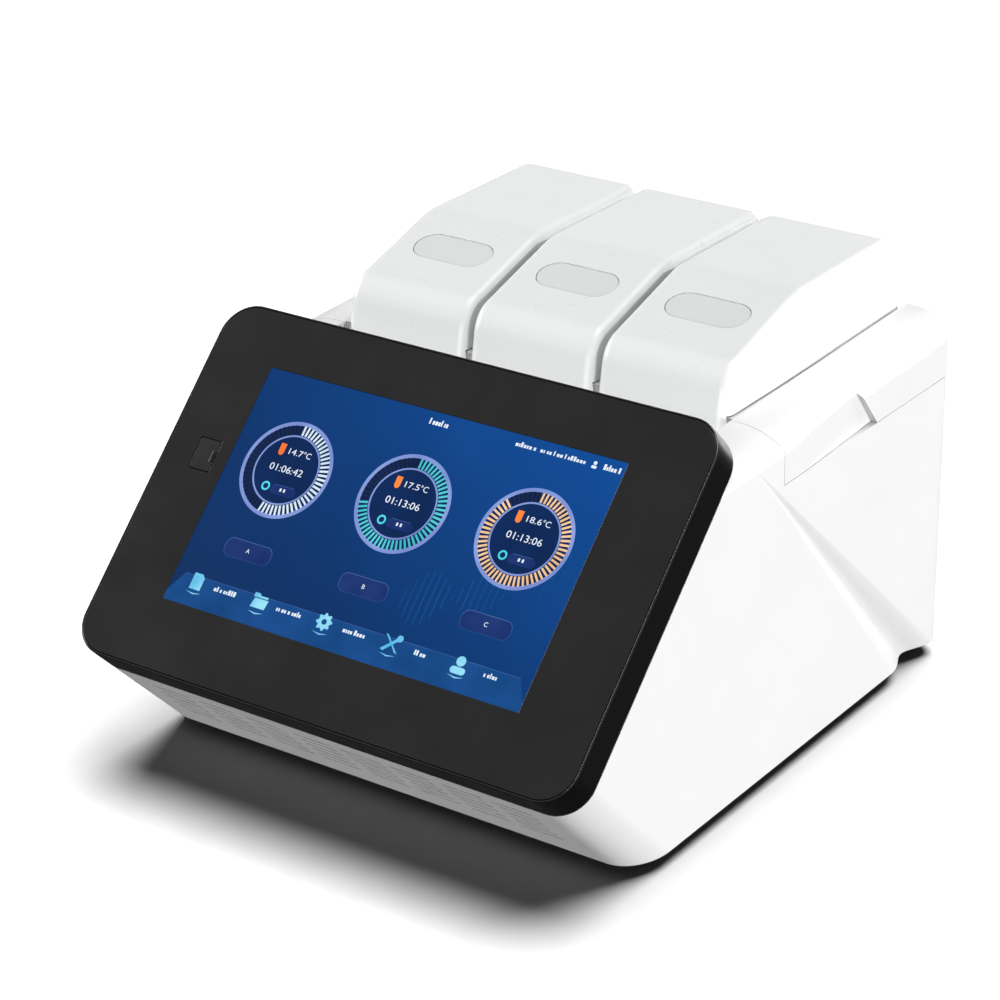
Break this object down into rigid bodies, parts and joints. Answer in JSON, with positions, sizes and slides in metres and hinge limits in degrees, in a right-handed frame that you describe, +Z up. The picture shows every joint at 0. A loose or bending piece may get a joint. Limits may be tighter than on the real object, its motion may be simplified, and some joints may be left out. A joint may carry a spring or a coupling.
{
  "type": "thermal cycler",
  "caption": "Bench thermal cycler: wedge housing with a tilted touch screen, lidded sample blocks with latch buttons, fan-cooled rear, feet.",
  "frame": {"origin": "centre of the bounding box at the level of the feet's undersides", "axes": "+X to the operator's right, +Y towards the rear, +Z up; the screen faces -Y and up"},
  "size_m": [0.3, 0.3725, 0.236],
  "materials": {
    "housing_white": "satin moulded",
    "lid_white": "satin moulded",
    "pan_grey": "powder coat",
    "panel_grey": "powder coat",
    "foot_rubber": "matt",
    "screw_steel": "turned",
    "frame_black": "satin black",
    "screen_glass": "polished",
    "screen_panel": "lit display",
    "board_green": "solder resist",
    "component_black": "moulded",
    "socket_steel": "plated",
    "door_black": "satin",
    "galvanised_steel": "galvanised",
    "sink_aluminium": "extruded",
    "module_ceramic": "ceramic",
    "block_aluminium": "bead blasted",
    "gasket_silicone": "soft",
    "fan_black": "moulded",
    "guard_steel": "plated",
    "inlet_black": "moulded",
    "pin_brass": "plated",
    "fuse_glass": "clear",
    "rocker_black": "moulded",
    "liner_grey": "moulded",
    "plate_aluminium": "anodised",
    "spring_steel": "wire",
    "button_grey": "satin",
    "hook_plastic": "moulded"
  },
  "bodies": {
    "root": {"base_pan": "pan_grey", "base_screws": "screw_steel", "block_gaskets": "gasket_silicone", "board_components": "component_black", "chassis": "galvanised_steel", "display_board": "board_green", "display_frame": "frame_black", "display_glass": "screen_glass", "fan_frames": "fan_black", "fan_guards": "guard_steel", "fan_screws": "screw_steel", "fuse_holder": "inlet_black", "heat_sinks": "sink_aluminium", "hinge_brackets": "galvanised_steel", "hinge_pins": "socket_steel", "inlet_pins": "pin_brass", "inlet_socket": "inlet_black", "latch_strikes": "socket_steel", "lcd_module": "screen_panel", "lower_housing": "housing_white", "main_board": "board_green", "peltier_modules": "module_ceramic", "power_supply": "galvanised_steel", "rear_panel": "panel_grey", "rear_screws": "screw_steel", "rubber_feet": "foot_rubber", "switch_body": "inlet_black", "top_cover": "housing_white", "usb_socket": "socket_steel", "well_block_a": "block_aluminium", "well_block_b": "block_aluminium", "well_block_c": "block_aluminium"},
    "button_a": {"button_springs_a": "spring_steel", "latch_button_a": "button_grey"},
    "button_b": {"button_springs_b": "spring_steel", "latch_button_b": "button_grey"},
    "button_c": {"button_springs_c": "spring_steel", "latch_button_c": "button_grey"},
    "fan_rotor_a": {"fan_rotor_a": "fan_black"},
    "fan_rotor_b": {"fan_rotor_b": "fan_black"},
    "fan_rotor_c": {"fan_rotor_c": "fan_black"},
    "fuse_drawer": {"fuse_drawer": "inlet_black", "fuses": "fuse_glass"},
    "plate_a": {"heated_plate_a": "plate_aluminium", "plate_springs_a": "spring_steel"},
    "plate_b": {"heated_plate_b": "plate_aluminium", "plate_springs_b": "spring_steel"},
    "plate_c": {"heated_plate_c": "plate_aluminium", "plate_springs_c": "spring_steel"},
    "hook_a": {"latch_hook_a": "hook_plastic"},
    "hook_b": {"latch_hook_b": "hook_plastic"},
    "hook_c": {"latch_hook_c": "hook_plastic"},
    "lid_a": {"lid_liner_a": "liner_grey", "lid_shell_a": "lid_white"},
    "lid_b": {"lid_liner_b": "liner_grey", "lid_shell_b": "lid_white"},
    "lid_c": {"lid_liner_c": "liner_grey", "lid_shell_c": "lid_white"},
    "power_rocker": {"power_rocker": "rocker_black"},
    "usb_door": {"usb_door": "door_black"}
  },
  "joints": [
    {"name": "lid_a_hinge", "type": "hinge", "parent": "root", "child": "lid_a", "pos_m": [-0.07858, 0.174, 0.1995], "axis": [-1, 0, 0], "range_deg": [0, 70]},
    {"name": "button_a_press", "type": "slide", "parent": "lid_a", "child": "button_a", "axis": [0, 0.284, -0.9588], "range_m": [0, 0.0025], "stiffness_N_per_m": 400, "springref_m": -0.0015, "deforming": ["button_springs_a"]},
    {"name": "hook_a_turn", "type": "hinge", "parent": "lid_a", "child": "hook_a", "pos_m": [-0.07858, 0.024, 0.209], "axis": [-1, 0, 0], "range_deg": [0, 8.5]},
    {"name": "plate_a_float", "type": "slide", "parent": "lid_a", "child": "plate_a", "axis": [0, 0, 1], "range_m": [0, 0.0025], "stiffness_N_per_m": 1500, "springref_m": -0.004, "deforming": ["plate_springs_a"]},
    {"name": "fan_a_spin", "type": "hinge", "parent": "root", "child": "fan_rotor_a", "pos_m": [-0.086, 0.1678, 0.112], "axis": [0, 1, 0], "continuous": true},
    {"name": "lid_b_hinge", "type": "hinge", "parent": "root", "child": "lid_b", "pos_m": [0, 0.174, 0.1995], "axis": [-1, 0, 0], "range_deg": [0, 70]},
    {"name": "button_b_press", "type": "slide", "parent": "lid_b", "child": "button_b", "axis": [0, 0.284, -0.9588], "range_m": [0, 0.0025], "stiffness_N_per_m": 400, "springref_m": -0.0015, "deforming": ["button_springs_b"]},
    {"name": "hook_b_turn", "type": "hinge", "parent": "lid_b", "child": "hook_b", "pos_m": [0, 0.024, 0.209], "axis": [-1, 0, 0], "range_deg": [0, 8.5]},
    {"name": "plate_b_float", "type": "slide", "parent": "lid_b", "child": "plate_b", "axis": [0, 0, 1], "range_m": [0, 0.0025], "stiffness_N_per_m": 1500, "springref_m": -0.004, "deforming": ["plate_springs_b"]},
    {"name": "fan_b_spin", "type": "hinge", "parent": "root", "child": "fan_rotor_b", "pos_m": [0, 0.1678, 0.112], "axis": [0, 1, 0], "continuous": true},
    {"name": "lid_c_hinge", "type": "hinge", "parent": "root", "child": "lid_c", "pos_m": [0.07858, 0.174, 0.1995], "axis": [-1, 0, 0], "range_deg": [0, 70]},
    {"name": "button_c_press", "type": "slide", "parent": "lid_c", "child": "button_c", "axis": [0, 0.284, -0.9588], "range_m": [0, 0.0025], "stiffness_N_per_m": 400, "springref_m": -0.0015, "deforming": ["button_springs_c"]},
    {"name": "hook_c_turn", "type": "hinge", "parent": "lid_c", "child": "hook_c", "pos_m": [0.07858, 0.024, 0.209], "axis": [-1, 0, 0], "range_deg": [0, 8.5]},
    {"name": "plate_c_float", "type": "slide", "parent": "lid_c", "child": "plate_c", "axis": [0, 0, 1], "range_m": [0, 0.0025], "stiffness_N_per_m": 1500, "springref_m": -0.004, "deforming": ["plate_springs_c"]},
    {"name": "fan_c_spin", "type": "hinge", "parent": "root", "child": "fan_rotor_c", "pos_m": [0.086, 0.1678, 0.112], "axis": [0, 1, 0], "continuous": true},
    {"name": "usb_door_hinge", "type": "hinge", "parent": "root", "child": "usb_door", "pos_m": [-0.1305, -0.10433, 0.15596], "axis": [0, -0.7102, -0.704], "range_deg": [0, 90]},
    {"name": "power_rocker_tip", "type": "hinge", "parent": "root", "child": "power_rocker", "pos_m": [-0.076, 0.1818, 0.04], "axis": [-1, 0, 0], "range_deg": [0, 20]},
    {"name": "fuse_drawer_slide", "type": "slide", "parent": "root", "child": "fuse_drawer", "axis": [0, 1, 0], "range_m": [0, 0.022]}
  ],
  "couplings": [
    {"joint": "hook_a_turn", "follows": "button_a_press", "rad_per_m": 55.851},
    {"joint": "hook_b_turn", "follows": "button_b_press", "rad_per_m": 55.851},
    {"joint": "hook_c_turn", "follows": "button_c_press", "rad_per_m": 55.851}
  ]
}
